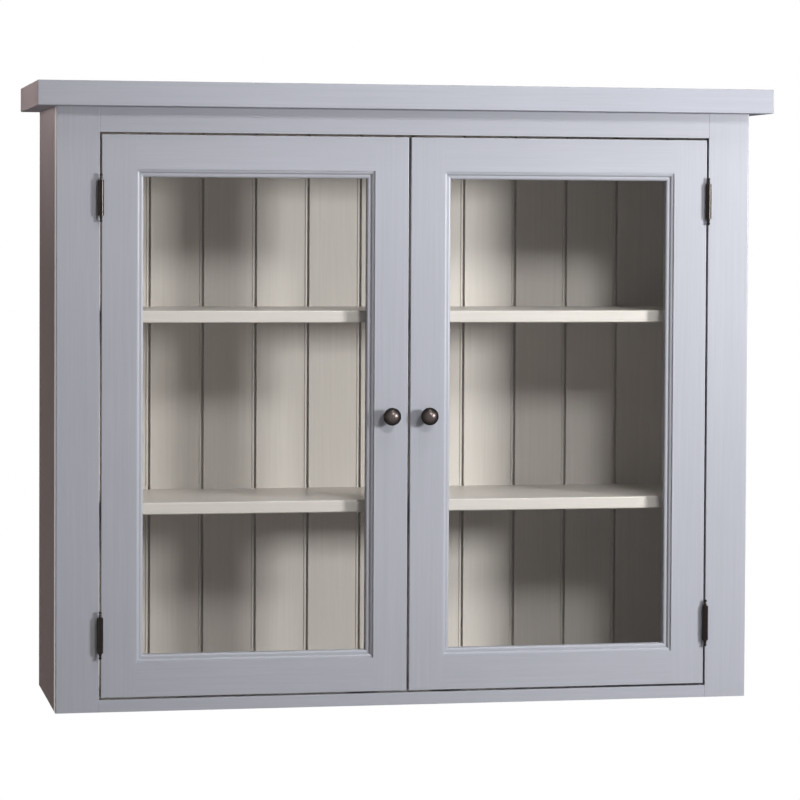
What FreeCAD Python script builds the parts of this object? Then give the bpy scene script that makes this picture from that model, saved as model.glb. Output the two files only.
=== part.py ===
import FreeCAD, Part

# Hanging display cabinet: a painted wall cupboard with two glazed doors, two shelves and a boarded back.
# X runs to the right, Y towards the wall and Z up, in millimetres. The origin is the middle of the four
# wall screws: on the wall plane, halfway along and halfway up the body.
import os
import re

import Sketcher
from FreeCAD import Placement, Rotation, Vector

# Driving dimensions: alias, size in millimetres, what it measures
DIMENSIONS = [
    ("cabinet_width", 1042, "body across its side panels"),
    ("body_height", 880, "underside of the body to the top board"),
    ("body_depth", 286, "face of the frame to the wall"),
    ("top_thickness", 36, "top board"),
    ("top_overhang", 29, "top board past the front and both ends"),
    ("top_edge_radius", 1.5, "eased edges of the top board"),
    ("side_thickness", 20, "side panels"),
    ("panel_thickness", 18, "bottom panel, top panel and shelves"),
    ("housing_depth", 6, "grooves in the sides that hold panels and shelves"),
    ("housing_stop", 12, "front of a shelf to the start of its grooves"),
    ("shelf_shoulder", 5, "top of a shelf to the tongues at its ends"),
    ("shelf_setback", 34, "face of the frame to the front of the shelves"),
    ("shelf_edge_radius", 2, "rounded front edges of the shelves"),
    ("lower_shelf_top", 302, "underside of the body to the top of the lower shelf"),
    ("upper_shelf_top", 583.5, "underside of the body to the top of the upper shelf"),
    ("frame_thickness", 22, "face frame, and the doors set inside it"),
    ("frame_stile", 63, "width of the face frame's stiles"),
    ("frame_top_rail", 37, "height of the face frame's top rail"),
    ("frame_bottom_rail", 18, "height of the face frame's bottom rail"),
    ("frame_tenon_length", 30, "tenons of the face frame's rails"),
    ("frame_tenon_shoulder", 4, "shoulder above and below those tenons"),
    ("tenon_thickness", 7, "all tenons, centred in the thickness"),
    ("corner_radius", 2, "rounded front corners of the face frame"),
    ("arris_radius", 1, "eased outer edges of the doors"),
    ("joint_radius", 0.6, "eased edges of the face frame along its opening and its joints"),
    ("board_thickness", 14, "back boards"),
    ("board_face", 82.3, "face of one back board, joint to joint"),
    ("first_board_face", 64.2, "face of the left board, cut to fit"),
    ("board_joint", 3.6, "open joint between two boards"),
    ("tongue_setback", 9, "face of a board to its tongue"),
    ("tongue_thickness", 2.5, "tongue on the right edge of a board"),
    ("tongue_length", 8, "tongue past the edge that carries it"),
    ("tongue_play", 0.2, "room round the tongue in its groove"),
    ("bead_radius", 2, "bead along the right edge of a board"),
    ("bead_quirk", 0.35, "width of the sunk line beside the bead"),
    ("hanging_rail_thickness", 12, "rails between the boards and the wall"),
    ("hanging_rail_height", 80, "both hanging rails"),
    ("fixing_width", 820, "wall screws, left to right"),
    ("fixing_height", 800, "wall screws, bottom to top"),
    ("fixing_hole_radius", 3, "holes for the wall screws"),
    ("door_gap", 3, "round the doors, hinge side included"),
    ("meeting_gap", 3.5, "between the two doors"),
    ("door_member", 61.5, "width of a door's stiles and rails, moulding included"),
    ("moulding_step", 2.4, "face of the door down to the moulding on a member's inner edge"),
    ("crown_width", 1.3, "flat between that step and the first ovolo"),
    ("ovolo_radius", 3.7, "both ovolos of the moulding, one below the other"),
    ("fillet_width", 2.3, "flat between the two ovolos"),
    ("glass_setback", 10.6, "face of the door to the glass"),
    ("glass_thickness", 3, "panes"),
    ("glass_play", 1, "between the edge of a pane and its rebate"),
    ("rebate_width", 8, "seat of the glass behind the moulding"),
    ("glazing_lip", 3, "straight edge of a glazing bead beside the pane"),
    ("door_tenon_length", 36, "tenons of the door rails"),
    ("door_tenon_shoulder", 8, "shoulder above and below those tenons"),
    ("hinge_length", 52, "knuckle and leaves of a butt hinge"),
    ("hinge_end_distance", 92, "end of the door to the middle of a hinge"),
    ("hinge_proud", 5.5, "hinge axis in front of the doors' face"),
    ("knuckle_radius", 4.3, "barrel of a hinge"),
    ("knuckle_play", 0.1, "end of one knuckle to the middle of the cut between two"),
    ("leaf_thickness", 1.5, "hinge leaves"),
    ("leaf_width", 18, "part of a leaf that is let into the wood"),
    ("pin_radius", 1.5, "hinge pins"),
    ("pin_play", 0.05, "radial room of the pin in the knuckles"),
    ("finial_collar_radius", 2.4, "foot of a pin's finial"),
    ("finial_collar_height", 1, "thickness of that foot"),
    ("finial_neck_radius", 1.5, "waist below the ball"),
    ("finial_ball_radius", 2.3, "ball at the tip"),
    ("finial_height", 9.5, "finial past the knuckle"),
    ("screw_head_radius", 2.7, "countersunk screws of hinges and catches"),
    ("screw_shank_radius", 1.4, "their shanks"),
    ("screw_length", 15, "their whole length"),
    ("screw_play", 0.15, "radial room of every screw in its hole"),
    ("pilot_spare", 1, "pilot holes deeper than their screws"),
    ("top_screw_head_radius", 4, "countersunk screws that hold the top board"),
    ("top_screw_shank_radius", 2, "their shanks"),
    ("top_screw_length", 42, "their whole length"),
    ("top_screw_spread", 420, "between neighbours along the cabinet"),
    ("top_screw_rows", 150, "between the front and the back row"),
    ("knob_height", 428.5, "underside of the body to the knobs"),
    ("knob_inset", 26.5, "meeting edge of a door to its knob"),
    ("knob_radius", 13.2, "widest part of a knob"),
    ("knob_rim_radius", 3.5, "rounded rim of a knob"),
    ("knob_rim_height", 16, "door to the middle of the rim"),
    ("knob_rose_radius", 8, "foot of a knob"),
    ("knob_rose_height", 1.5, "straight edge of that foot"),
    ("knob_neck_radius", 4.5, "waist of a knob"),
    ("knob_projection", 24.5, "door to the top of the dome"),
    ("knob_screw_radius", 2, "machine screw behind a knob"),
    ("knob_screw_reach", 9, "thread inside the knob"),
    ("knob_screw_head_radius", 4.2, "its pan head"),
    ("knob_screw_head_height", 2.2, "thickness of that head"),
    ("knob_screw_play", 0.2, "radial room in the door"),
    ("catch_length", 46, "magnetic catch along the bottom panel"),
    ("catch_depth", 16, "front to back"),
    ("catch_height", 13, "above the bottom panel"),
    ("catch_ear_length", 10, "screw ears at both ends"),
    ("catch_ear_height", 3, "thickness of the ears"),
    ("catch_inset", 40, "meeting edge of a door to the near end of its catch"),
    ("catch_air", 0.3, "closed strike to the magnet"),
    ("strike_length", 34, "strike plate on the door"),
    ("strike_height", 10, "its height"),
    ("strike_thickness", 1.2, "its thickness"),
    ("strike_rise", 1, "bottom edge of the door to the strike"),
]
ALIASES = {alias for alias, size, meaning in DIMENSIONS}
SHEET_NAME = "Dims"

# Lengths that follow from the driving dimensions
INNER_WIDTH = "(cabinet_width - 2 * side_thickness)"
PANEL_DEPTH = "(body_depth - frame_thickness - hanging_rail_thickness - board_thickness)"
OPENING_WIDTH = "(cabinet_width - 2 * frame_stile)"
DOOR_WIDTH = "((cabinet_width - 2 * frame_stile - 2 * door_gap - meeting_gap) / 2)"
DOOR_HEIGHT = "(body_height - frame_top_rail - frame_bottom_rail - 2 * door_gap)"
DOOR_BOTTOM = "(frame_bottom_rail + door_gap)"
DOOR_FLAT = "(door_member - crown_width - fillet_width - 2 * ovolo_radius)"
GLAZING_DEPTH = "(frame_thickness - glass_setback - glass_thickness)"
HINGE_AXIS = "(cabinet_width / 2 - frame_stile - door_gap / 2)"
HINGE_MIDDLES = {
    "upper": f"({DOOR_BOTTOM} + {DOOR_HEIGHT} - hinge_end_distance)",
    "lower": f"({DOOR_BOTTOM} + hinge_end_distance)",
}
SCREW_SPREAD = "(hinge_length * 0.36)"
SCREW_POINT = "screw_head_radius"
SIDES = ("left", "right")
DOOR_LEFT_EDGES = {
    "left": f"(-{OPENING_WIDTH} / 2 + door_gap)",
    "right": "(meeting_gap / 2)",
}

doc = FreeCAD.newDocument("display_cabinet")
sheet = doc.addObject("Spreadsheet::Sheet", SHEET_NAME)
pieces = []


# Sheet and expressions

def fill_sheet():
    for row, (alias, size, meaning) in enumerate(DIMENSIONS, 1):
        sheet.set(f"A{row}", meaning)
        sheet.set(f"B{row}", str(size))
        sheet.setAlias(f"B{row}", alias)
    doc.recompute()


def bound(words):
    """The expression that other objects use: every alias gets the sheet's name in front."""
    def with_sheet(found):
        word = found.group()
        return f"{SHEET_NAME}.{word}" if word in ALIASES else word
    return re.sub(r"[a-z_]+", with_sheet, words)


def number(words):
    return float(sheet.evalExpression(words))


# Bodies, sketches and features

def new_body(label):
    body = doc.addObject("PartDesign::Body", label)
    body.Label = label
    return body


def new_piece(label):
    body = new_body(label)
    pieces.append(body)
    return body


def place(piece, x, y, z, turn=Rotation()):
    """Put a piece at x from the middle, y behind the face of the frame and z above the underside."""
    piece.Placement = Placement(Vector(), turn)
    piece.setExpression("Placement.Base.x", bound(x))
    piece.setExpression("Placement.Base.y", bound(f"{y} - body_depth"))
    piece.setExpression("Placement.Base.z", bound(f"{z} - body_height / 2"))


def origin_feature(body, role):
    return next(feature for feature in body.Origin.OriginFeatures if feature.Role == role)


def sketch_on(body, plane, offset="0"):
    sketch = body.newObject("Sketcher::SketchObject", "Sketch")
    sketch.AttachmentSupport = [(origin_feature(body, plane), "")]
    sketch.MapMode = "FlatFace"
    sketch.setExpression("AttachmentOffset.Base.z", bound(offset))
    return sketch


def pin_point(sketch, edge, end, across, up=None):
    """Fix a point of the sketch at bound distances from the sketch's origin."""
    for kind, words in (("DistanceX", across), ("DistanceY", up)):
        if words is not None:
            row = sketch.addConstraint(Sketcher.Constraint(kind, -1, 1, edge, end, number(words)))
            sketch.setExpression(f"Constraints[{row}]", bound(words))


def sketch_point(pair):
    return Vector(number(pair[0]), number(pair[1]), 0)


def outline(sketch, corners):
    """Draw a closed outline. A corner that also names a centre starts an arc to the next corner."""
    ends = []
    for corner, following in zip(corners, corners[1:] + corners[:1]):
        start = sketch_point(corner)
        stop = sketch_point(following)
        if len(corner) == 2:
            edge = sketch.addGeometry(Part.LineSegment(start, stop))
            ends.append((edge, 1, 2))
        else:
            centre = sketch_point(corner[2:])
            left_turn = (start - centre).cross(stop - centre).z > 0
            circle = Part.Circle(centre, Vector(0, 0, 1), (start - centre).Length)
            first, last = (start, stop) if left_turn else (stop, start)
            arc = Part.ArcOfCircle(circle, circle.parameter(first), circle.parameter(last))
            edge = sketch.addGeometry(arc)
            ends.append((edge, 1, 2) if left_turn else (edge, 2, 1))
            pin_point(sketch, edge, 3, corner[2])
    for corner, here, before in zip(corners, ends, ends[-1:] + ends[:-1]):
        sketch.addConstraint(Sketcher.Constraint("Coincident", before[0], before[2], here[0], here[1]))
        pin_point(sketch, here[0], here[1], corner[0], corner[1])


def rectangle(sketch, left, right, bottom, top):
    outline(sketch, [(left, bottom), (right, bottom), (right, top), (left, top)])


def circle_at(sketch, across, up, radius):
    middle = sketch_point((across, up))
    edge = sketch.addGeometry(Part.Circle(middle, Vector(0, 0, 1), number(radius)))
    pin_point(sketch, edge, 3, across, up)
    row = sketch.addConstraint(Sketcher.Constraint("Radius", edge, number(radius)))
    sketch.setExpression(f"Constraints[{row}]", bound(radius))


def pad(body, sketch, length, reverse=False):
    feature = body.newObject("PartDesign::Pad", "Pad")
    feature.Profile = sketch
    feature.Reversed = reverse
    feature.setExpression("Length", bound(length))
    doc.recompute()
    return feature


def check_cut(body, volume_before):
    doc.recompute()
    if body.Shape.Volume > volume_before - 1e-3:
        raise RuntimeError(f"a cut in {body.Label} removes nothing")


def pocket(body, sketch, depth=None, reverse=False):
    """Cut the sketch to a depth, or right through when none is given."""
    volume_before = body.Shape.Volume
    feature = body.newObject("PartDesign::Pocket", "Pocket")
    feature.Profile = sketch
    feature.Reversed = reverse
    if depth is None:
        feature.Type = "ThroughAll"
    else:
        feature.setExpression("Length", bound(depth))
    check_cut(body, volume_before)


def countersunk_holes(body, sketch, reverse, screw="screw"):
    """Holes right through a piece for one of the two sizes of screw."""
    volume_before = body.Shape.Volume
    hole = body.newObject("PartDesign::Hole", "Hole")
    hole.Profile = sketch
    doc.recompute()
    hole.Reversed = reverse
    hole.DepthType = "ThroughAll"
    hole.setExpression("Diameter", bound(f"2 * ({screw}_shank_radius + screw_play)"))
    hole.HoleCutType = "Countersink"
    hole.HoleCutCustomValues = True
    hole.setExpression("HoleCutDiameter", bound(f"2 * ({screw}_head_radius + screw_play)"))
    hole.HoleCutCountersinkAngle = 90
    check_cut(body, volume_before)


def revolve(body, sketch):
    feature = body.newObject("PartDesign::Revolution", "Revolution")
    feature.Profile = sketch
    feature.ReferenceAxis = (sketch, ["V_Axis"])
    feature.Angle = 360
    doc.recompute()
    return feature


def ease_edges(body, radius, chosen):
    """Round the edges of the body that the test chooses, seen in the body's own frame."""
    tip = body.Tip
    names = [f"Edge{row}" for row, edge in enumerate(tip.Shape.Edges, 1) if chosen(edge.BoundBox)]
    feature = body.newObject("PartDesign::Fillet", "Fillet")
    feature.Base = (tip, names)
    feature.setExpression("Radius", bound(radius))
    doc.recompute()


def flip(across, width, side):
    """A distance from the outer end, measured from the left end of the piece."""
    return across if side == "left" else f"{width} - ({across})"


def flip_corners(corners, width, side):
    flipped = []
    for corner in corners:
        values = list(corner)
        for place_in_corner in range(0, len(values), 2):
            values[place_in_corner] = flip(values[place_in_corner], width, side)
        flipped.append(tuple(values))
    return flipped


def swap_corners(corners):
    """The same outline with its two directions exchanged."""
    swapped = []
    for corner in corners:
        values = list(corner)
        for first in range(0, len(values), 2):
            values[first], values[first + 1] = values[first + 1], values[first]
        swapped.append(tuple(values))
    return swapped


def group(label, members):
    """One node made of separate solids."""
    compound = doc.addObject("Part::Compound", label)
    compound.Label = label
    compound.Links = members
    pieces.append(compound)


# Carcass

def side_panel(side):
    body = new_piece(f"{side}_side")
    sketch = sketch_on(body, "XY_Plane")
    rectangle(sketch, "0", "side_thickness", "0", "body_depth - frame_thickness")
    pad(body, sketch, "body_height")
    shelf_start = "shelf_setback + housing_stop - frame_thickness"
    housings = [
        ("0", "0", "panel_thickness"),
        ("0", "body_height - panel_thickness", "body_height"),
        (shelf_start, "lower_shelf_top - panel_thickness", "lower_shelf_top - shelf_shoulder"),
        (shelf_start, "upper_shelf_top - panel_thickness", "upper_shelf_top - shelf_shoulder"),
    ]
    inner_face = flip("side_thickness", "side_thickness", side)
    sketch = sketch_on(body, "YZ_Plane", inner_face)
    for start, bottom, top in housings:
        rectangle(sketch, start, PANEL_DEPTH, bottom, top)
    pocket(body, sketch, "housing_depth", reverse=side == "right")
    left_edge = "-cabinet_width / 2" if side == "left" else "cabinet_width / 2 - side_thickness"
    place(body, left_edge, "frame_thickness", "0")


def flat_panel(label, bottom):
    """A panel across the cabinet, drawn from the middle of its front edge."""
    body = new_piece(label)
    sketch = sketch_on(body, "XY_Plane")
    half_length = f"({INNER_WIDTH} / 2 + housing_depth)"
    rectangle(sketch, f"-{half_length}", half_length, "0", PANEL_DEPTH)
    pad(body, sketch, "panel_thickness")
    place(body, "0", "frame_thickness", bottom)
    return body


def bottom_panel():
    """The bottom panel, with pilot holes for the screws of the catches."""
    body = flat_panel("bottom_panel", "0")
    pilots = sketch_on(body, "XY_Plane", "panel_thickness")
    for side in SIDES:
        for x, y in catch_screw_places(side):
            circle_at(pilots, x, f"{y} - frame_thickness", "screw_shank_radius + screw_play")
    pocket(body, pilots, "screw_length - catch_ear_height + pilot_spare")


def top_panel():
    """The top panel, bored from below for the screws of the top board."""
    body = flat_panel("top_panel", "body_height - panel_thickness")
    holes = sketch_on(body, "XY_Plane")
    for x, y in top_screw_places():
        circle_at(holes, x, f"{y} - frame_thickness", "top_screw_shank_radius")
    countersunk_holes(body, holes, reverse=True, screw="top_screw")


def top_screw_places():
    """Screws of the top board: two rows of three, from the middle and behind the face."""
    middle = f"(frame_thickness + {PANEL_DEPTH} / 2)"
    places = []
    for across in ("-top_screw_spread", "0", "top_screw_spread"):
        for back in (f"{middle} - top_screw_rows / 2", f"{middle} + top_screw_rows / 2"):
            places.append((across, back))
    return places


def shelf(label, top):
    """A shelf with a rounded front, and at each end a shouldered tongue that stops short of the front."""
    body = new_piece(label)
    depth = f"({PANEL_DEPTH} + frame_thickness - shelf_setback)"
    upper_round = "panel_thickness - shelf_edge_radius"
    sketch = sketch_on(body, "YZ_Plane")
    outline(sketch, [
        ("shelf_edge_radius", "0"),
        (depth, "0"),
        (depth, "panel_thickness"),
        ("shelf_edge_radius", "panel_thickness", "shelf_edge_radius", upper_round),
        ("0", upper_round),
        ("0", "shelf_edge_radius", "shelf_edge_radius", "shelf_edge_radius"),
    ])
    pad(body, sketch, INNER_WIDTH)
    tongues = sketch_on(body, "YZ_Plane", "-housing_depth")
    rectangle(tongues, "housing_stop", depth, "0", "panel_thickness - shelf_shoulder")
    pad(body, tongues, f"{INNER_WIDTH} + 2 * housing_depth")
    place(body, f"-{INNER_WIDTH} / 2", "shelf_setback", f"{top} - panel_thickness")


def top_board():
    body = new_piece("top_board")
    sketch = sketch_on(body, "XY_Plane")
    depth = "body_depth + top_overhang"
    rectangle(sketch, "0", "cabinet_width + 2 * top_overhang", "0", depth)
    pad(body, sketch, "top_thickness")
    rear = number(depth)
    ease_edges(body, "top_edge_radius", lambda box: box.YMin < rear - 1)
    pilots = sketch_on(body, "XY_Plane")
    for x, y in top_screw_places():
        across = f"{x} + cabinet_width / 2 + top_overhang"
        circle_at(pilots, across, f"{y} + top_overhang", "top_screw_shank_radius + screw_play")
    pocket(body, pilots, "top_screw_length - panel_thickness + pilot_spare", reverse=True)
    place(body, "-cabinet_width / 2 - top_overhang", "-top_overhang", "body_height")


# Face frame

def tenon_depths():
    """Front and back of a tenon, from the face."""
    return "(frame_thickness - tenon_thickness) / 2", "(frame_thickness + tenon_thickness) / 2"


def hinge_beds(body, plane_at, bottom, cut_left):
    """Beds for both leaves in the edge of a stile, with pilot holes for their screws."""
    beds = sketch_on(body, "YZ_Plane", plane_at)
    pilots = sketch_on(body, "YZ_Plane", plane_at)
    for middle in HINGE_MIDDLES.values():
        height = f"{middle} - {bottom}"
        rectangle(beds, "0", "leaf_width", f"{height} - hinge_length / 2", f"{height} + hinge_length / 2")
        for back, up in leaf_screw_places():
            circle_at(pilots, back, f"{height} + {up}", "screw_shank_radius + screw_play")
    pocket(body, beds, "leaf_thickness", reverse=not cut_left)
    pocket(body, pilots, "screw_length + pilot_spare", reverse=not cut_left)


def leaf_screw_places():
    """Screws of a leaf: behind the face, and above the middle of the hinge."""
    return [
        ("leaf_width * 0.36", f"-{SCREW_SPREAD}"),
        ("leaf_width * 0.64", "0"),
        ("leaf_width * 0.36", SCREW_SPREAD),
    ]


def frame_stile(side):
    body = new_piece(f"face_frame_{side}_stile")
    sketch = sketch_on(body, "XY_Plane")
    rectangle(sketch, "0", "frame_stile", "0", "frame_thickness")
    pad(body, sketch, "body_height")
    inner_edge = flip("frame_stile", "frame_stile", side)
    outer_edge = flip("0", "frame_stile", side)
    for radius, edge in (("corner_radius", outer_edge), ("joint_radius", inner_edge)):
        across = number(edge)
        ease_edges(body, radius, lambda box: box.YMax < 0.1 and abs(box.Center.x - across) < 0.1)
    front, back = tenon_depths()
    mortises = sketch_on(body, "YZ_Plane", inner_edge)
    top_rail_bottom = "body_height - frame_top_rail + frame_tenon_shoulder"
    rectangle(mortises, front, back, top_rail_bottom, "body_height - frame_tenon_shoulder")
    rectangle(mortises, front, back, "frame_tenon_shoulder", "frame_bottom_rail - frame_tenon_shoulder")
    pocket(body, mortises, "frame_tenon_length", reverse=side == "right")
    hinge_beds(body, inner_edge, "0", cut_left=side == "left")
    place(body, "-cabinet_width / 2" if side == "left" else "cabinet_width / 2 - frame_stile", "0", "0")


def frame_rail(label, bottom, height):
    body = new_piece(label)
    sketch = sketch_on(body, "YZ_Plane", "frame_tenon_length")
    rectangle(sketch, "0", "frame_thickness", "0", height)
    pad(body, sketch, OPENING_WIDTH)
    ease_edges(body, "joint_radius", lambda box: box.YMax < 0.1)
    front, back = tenon_depths()
    tenons = sketch_on(body, "YZ_Plane")
    rectangle(tenons, front, back, "frame_tenon_shoulder", f"{height} - frame_tenon_shoulder")
    pad(body, tenons, f"{OPENING_WIDTH} + 2 * frame_tenon_length")
    place(body, f"-{OPENING_WIDTH} / 2 - frame_tenon_length", "0", bottom)


# Boarded back and hanging rails

def board_faces():
    """Both ends of every board's face, from the left side panel. The end boards are cut to fit."""
    joint = "first_board_face"
    faces = [("0", joint)]
    while number(f"{joint} + board_face") < number(INNER_WIDTH):
        faces.append((joint, f"{joint} + board_face"))
        joint = f"{joint} + board_face"
    faces.append((joint, INNER_WIDTH))
    return faces


def back_board(label, start, stop, is_first, is_last):
    """A board with a groove on its left edge, and on its right edge a bead and a tongue."""
    body = new_piece(label)
    face = f"({stop} - ({start}))"
    half_joint = "board_joint / 2"
    tongue_back = "tongue_setback + tongue_thickness"
    left_edge = "0" if is_first else half_joint
    right_edge = face if is_last else f"{face} - {half_joint}"
    bead_middle = f"{right_edge} - bead_radius"
    bead_start = f"{right_edge} - 2 * bead_radius"
    corners = [(left_edge, "0")]
    if is_last:
        corners += [(right_edge, "0"), (right_edge, "board_thickness")]
    else:
        corners += [
            (f"{bead_start} - bead_quirk", "0"),
            (f"{bead_start} - bead_quirk", "bead_radius"),
            (bead_start, "bead_radius", bead_middle, "bead_radius"),
            (bead_middle, "0", bead_middle, "bead_radius"),
            (right_edge, "bead_radius"),
            (right_edge, "tongue_setback"),
            (f"{right_edge} + tongue_length", "tongue_setback"),
            (f"{right_edge} + tongue_length", tongue_back),
            (right_edge, tongue_back),
            (right_edge, "board_thickness"),
        ]
    corners.append((left_edge, "board_thickness"))
    if not is_first:
        groove_floor = f"tongue_length - {half_joint} + tongue_play"
        corners += [
            (left_edge, f"{tongue_back} + tongue_play"),
            (groove_floor, f"{tongue_back} + tongue_play"),
            (groove_floor, "tongue_setback - tongue_play"),
            (left_edge, "tongue_setback - tongue_play"),
        ]
    sketch = sketch_on(body, "XY_Plane")
    outline(sketch, corners)
    pad(body, sketch, "body_height")
    bore_fixing_holes(body, f"-{INNER_WIDTH} / 2 + {start}", face, "0", "body_height")
    place(body, f"-{INNER_WIDTH} / 2 + {start}", f"frame_thickness + {PANEL_DEPTH}", "0")


def bore_fixing_holes(body, left, width, bottom, height):
    """Bore the wall-screw holes that fall inside a piece."""
    places = []
    for across in ("-fixing_width / 2", "fixing_width / 2"):
        for up in ("(body_height - fixing_height) / 2", "(body_height + fixing_height) / 2"):
            across_here = f"{across} - ({left})"
            up_here = f"{up} - ({bottom})"
            if 0 < number(across_here) < number(width) and 0 < number(up_here) < number(height):
                places.append((across_here, up_here))
    if places:
        sketch = sketch_on(body, "XZ_Plane")
        for across_here, up_here in places:
            circle_at(sketch, across_here, up_here, "fixing_hole_radius")
        pocket(body, sketch)


def hanging_rail(label, bottom):
    body = new_piece(label)
    sketch = sketch_on(body, "XY_Plane")
    rectangle(sketch, "0", INNER_WIDTH, "0", "hanging_rail_thickness")
    pad(body, sketch, "hanging_rail_height")
    bore_fixing_holes(body, f"-{INNER_WIDTH} / 2", INNER_WIDTH, bottom, "hanging_rail_height")
    place(body, f"-{INNER_WIDTH} / 2", "body_depth - hanging_rail_thickness", bottom)


# Doors. Each door's pieces share the frame of the door: across from its left edge, back from its face
# and up from its bottom edge.

def place_in_door(piece, side, x="0", y="0", z="0", turn=Rotation()):
    place(piece, f"{DOOR_LEFT_EDGES[side]} + {x}", y, f"{DOOR_BOTTOM} + {z}", turn)


def member_section():
    """Section of a door's stile or rail: inward from its outer edge, and back from the face."""
    first_ovolo = f"({DOOR_FLAT} + crown_width)"
    second_ovolo = "(door_member - ovolo_radius)"
    fillet_depth = "(moulding_step + ovolo_radius)"
    lip_depth = "(moulding_step + 2 * ovolo_radius)"
    rebate_wall = "door_member - rebate_width"
    return [
        ("0", "0"),
        (DOOR_FLAT, "0"),
        (DOOR_FLAT, "moulding_step"),
        (first_ovolo, "moulding_step", first_ovolo, fillet_depth),
        (f"{first_ovolo} + ovolo_radius", fillet_depth),
        (second_ovolo, fillet_depth, second_ovolo, lip_depth),
        ("door_member", lip_depth),
        ("door_member", "glass_setback"),
        (rebate_wall, "glass_setback"),
        (rebate_wall, "frame_thickness"),
        ("0", "frame_thickness"),
    ]


def door_stile(side, edge):
    """A full-height member whose moulding is mitred at both ends, with mortises for the rails."""
    end = side if edge == "hinge" else SIDES[side == "left"]
    body = new_piece(f"{side}_door_{edge}_stile")
    sketch = sketch_on(body, "XY_Plane")
    outline(sketch, flip_corners(member_section(), DOOR_WIDTH, end))
    pad(body, sketch, DOOR_HEIGHT)
    mitres = sketch_on(body, "XZ_Plane")
    for up_end in ("left", "right"):
        corners = [
            (DOOR_FLAT, "0"),
            ("door_member", "0"),
            ("door_member", "door_member"),
            (DOOR_FLAT, DOOR_FLAT),
        ]
        corners = flip_corners(corners, DOOR_WIDTH, end)
        corners = swap_corners(flip_corners(swap_corners(corners), DOOR_HEIGHT, up_end))
        outline(mitres, corners)
    pocket(body, mitres)
    front, back = tenon_depths()
    mortises = sketch_on(body, "YZ_Plane", flip(DOOR_FLAT, DOOR_WIDTH, end))
    for up_end in ("left", "right"):
        low = flip("door_tenon_shoulder", DOOR_HEIGHT, up_end)
        high = flip(f"{DOOR_FLAT} - door_tenon_shoulder", DOOR_HEIGHT, up_end)
        rectangle(mortises, front, back, low, high)
    pocket(body, mortises, "door_tenon_length", reverse=end == "right")
    if edge == "hinge":
        hinge_beds(body, flip("0", DOOR_WIDTH, end), DOOR_BOTTOM, cut_left=end == "right")
    else:
        hole = sketch_on(body, "XZ_Plane")
        across = flip("knob_inset", DOOR_WIDTH, end)
        circle_at(hole, across, f"knob_height - {DOOR_BOTTOM}", "knob_screw_radius + knob_screw_play")
        pocket(body, hole)
    ease_outer_edges(body, number(flip("0", DOOR_WIDTH, end)))
    place_in_door(body, side)


def ease_outer_edges(body, outer):
    """Round the front edges along a stile's outer side and its two ends."""
    height = number(DOOR_HEIGHT)

    def chosen(box):
        on_face = box.YMax < 0.1
        along_side = box.XLength < 0.1 and abs(box.XMin - outer) < 0.1
        along_end = box.ZLength < 0.1 and min(abs(box.ZMin), abs(box.ZMin - height)) < 0.1
        return on_face and (along_side or along_end)

    ease_edges(body, "arris_radius", chosen)


def door_rail(side, edge):
    """A rail between the stiles, with its moulding mitred at both ends and a tenon past each shoulder."""
    up_end = "left" if edge == "bottom" else "right"
    body = new_piece(f"{side}_door_{edge}_rail")
    section = flip_corners(member_section(), DOOR_HEIGHT, up_end)
    sketch = sketch_on(body, "YZ_Plane", DOOR_FLAT)
    outline(sketch, swap_corners(section))
    pad(body, sketch, f"{DOOR_WIDTH} - 2 * {DOOR_FLAT}")
    mitres = sketch_on(body, "XZ_Plane")
    for end in SIDES:
        corners = [
            (DOOR_FLAT, DOOR_FLAT),
            ("door_member", "door_member"),
            (DOOR_FLAT, "door_member"),
        ]
        corners = flip_corners(corners, DOOR_WIDTH, end)
        outline(mitres, swap_corners(flip_corners(swap_corners(corners), DOOR_HEIGHT, up_end)))
    pocket(body, mitres)
    outer = number(flip("0", DOOR_HEIGHT, up_end))
    ease_edges(body, "arris_radius", lambda box: box.YMax < 0.1 and abs(box.Center.z - outer) < 0.1)
    front, back = tenon_depths()
    tenons = sketch_on(body, "YZ_Plane", f"{DOOR_FLAT} - door_tenon_length")
    low = flip("door_tenon_shoulder", DOOR_HEIGHT, up_end)
    high = flip(f"{DOOR_FLAT} - door_tenon_shoulder", DOOR_HEIGHT, up_end)
    rectangle(tenons, front, back, low, high)
    pad(body, tenons, f"{DOOR_WIDTH} - 2 * {DOOR_FLAT} + 2 * door_tenon_length")
    if edge == "bottom":
        pilot = sketch_on(body, "XZ_Plane", "-frame_thickness")
        across = f"{catch_left_end(side)} + catch_length / 2"
        circle_at(pilot, across, "strike_rise + strike_height / 2", "screw_shank_radius + screw_play")
        pocket(body, pilot, "screw_length - strike_thickness + pilot_spare", reverse=True)
    place_in_door(body, side)


def door_glass(side):
    body = new_piece(f"{side}_door_glass")
    edge = "(door_member - rebate_width + glass_play)"
    sketch = sketch_on(body, "XZ_Plane")
    rectangle(sketch, edge, f"{DOOR_WIDTH} - {edge}", edge, f"{DOOR_HEIGHT} - {edge}")
    pad(body, sketch, "glass_thickness", reverse=True)
    place_in_door(body, side, y="glass_setback")


def glazing_bead(side, length):
    """A bead with a rounded inner edge and mitred ends, drawn along its outer edge and back from the pane."""
    body = new_body(f"{side}_glazing_bead")
    round_centre = f"rebate_width - ({GLAZING_DEPTH} - glazing_lip)"
    sketch = sketch_on(body, "YZ_Plane")
    outline(sketch, [
        ("0", "0"),
        ("0", "rebate_width"),
        ("glazing_lip", "rebate_width", "glazing_lip", round_centre),
        (GLAZING_DEPTH, round_centre),
        (GLAZING_DEPTH, "0"),
    ])
    pad(body, sketch, length)
    mitres = sketch_on(body, "XZ_Plane")
    for end in SIDES:
        corners = [("0", "0"), ("rebate_width", "rebate_width"), ("0", "rebate_width")]
        outline(mitres, flip_corners(corners, length, end))
    pocket(body, mitres)
    return body


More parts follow.
